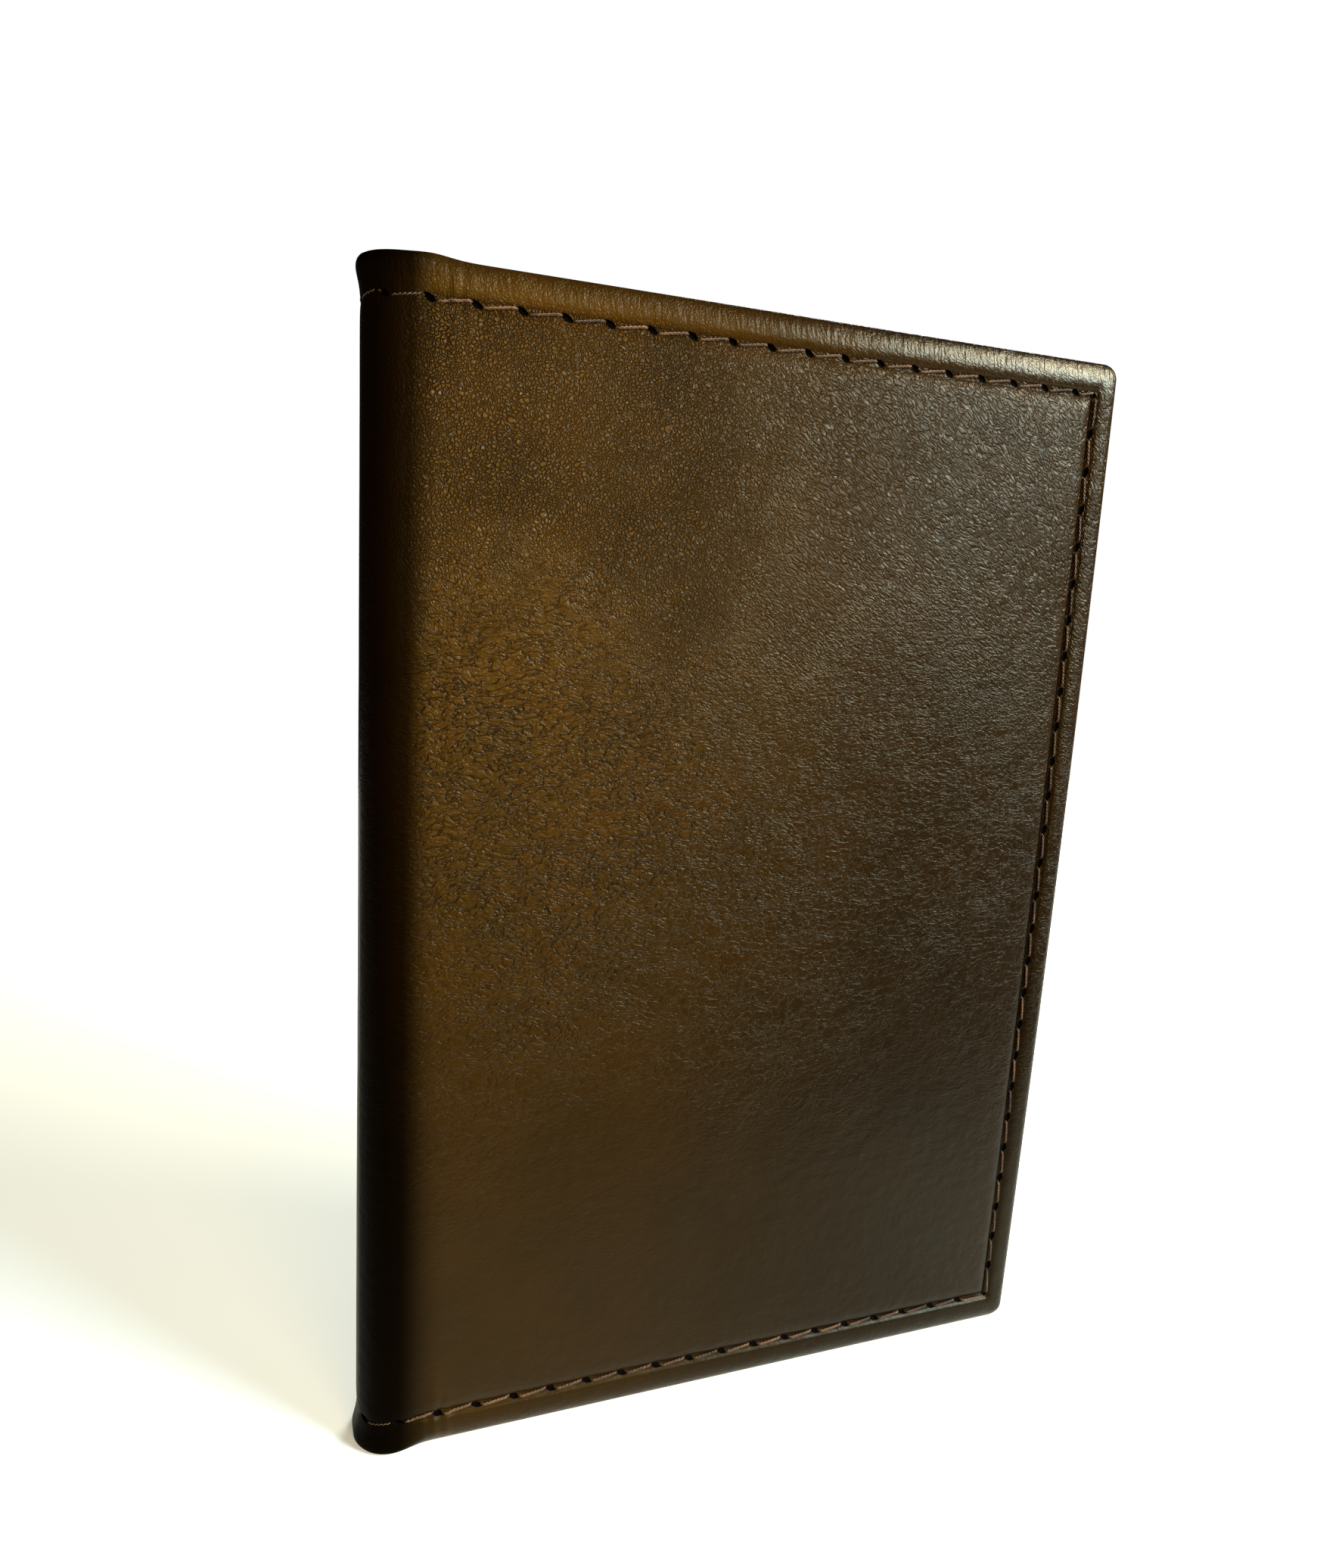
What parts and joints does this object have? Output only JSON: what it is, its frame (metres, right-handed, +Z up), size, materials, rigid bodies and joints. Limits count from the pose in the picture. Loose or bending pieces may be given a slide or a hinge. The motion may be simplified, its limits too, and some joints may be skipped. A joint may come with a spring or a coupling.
{
  "type": "passport holder",
  "caption": "Small bifold leather cover with a stitched rim, a rounded spine and an inner sleeve on each side for a passport.",
  "frame": {"origin": "on the floor under the middle of the closed holder standing on its bottom edge", "axes": "+Z up along the spine, +X from the spine to the fore edge, +Y from the front cover to the back cover"},
  "size_m": [0.0961, 0.0104, 0.14],
  "materials": {
    "outer_leather": "semi-gloss, fine pebbled and creased grain",
    "sleeve_leather": "satin, fine grain",
    "lining": "matt woven twill",
    "board": "matt",
    "thread": "twisted waxed thread"
  },
  "bodies": {
    "back_cover": {"back_outer_leather": "outer_leather", "back_board": "board", "back_lining": "lining", "back_sleeve": "sleeve_leather", "back_outside_thread": "thread", "back_inside_thread": "thread"},
    "spine": {"spine_outer_leather": "outer_leather", "spine_lining": "lining", "spine_top_outside_thread": "thread", "spine_top_inside_thread": "thread", "spine_bottom_outside_thread": "thread", "spine_bottom_inside_thread": "thread"},
    "front_cover": {"front_outer_leather": "outer_leather", "front_board": "board", "front_lining": "lining", "front_sleeve": "sleeve_leather", "front_outside_thread": "thread", "front_inside_thread": "thread"}
  },
  "joints": [
    {"name": "back_fold", "type": "hinge", "parent": "back_cover", "child": "spine", "pos_m": [-0.04714, 0.00414, 0], "axis": [0, 0, -1], "range_deg": [0, 90]},
    {"name": "front_fold", "type": "hinge", "parent": "spine", "child": "front_cover", "pos_m": [-0.04714, -0.00414, 0], "axis": [0, 0, -1], "range_deg": [0, 90]}
  ],
  "couplings": [
    {"joint": "front_fold", "follows": "back_fold", "ratio": 1}
  ]
}
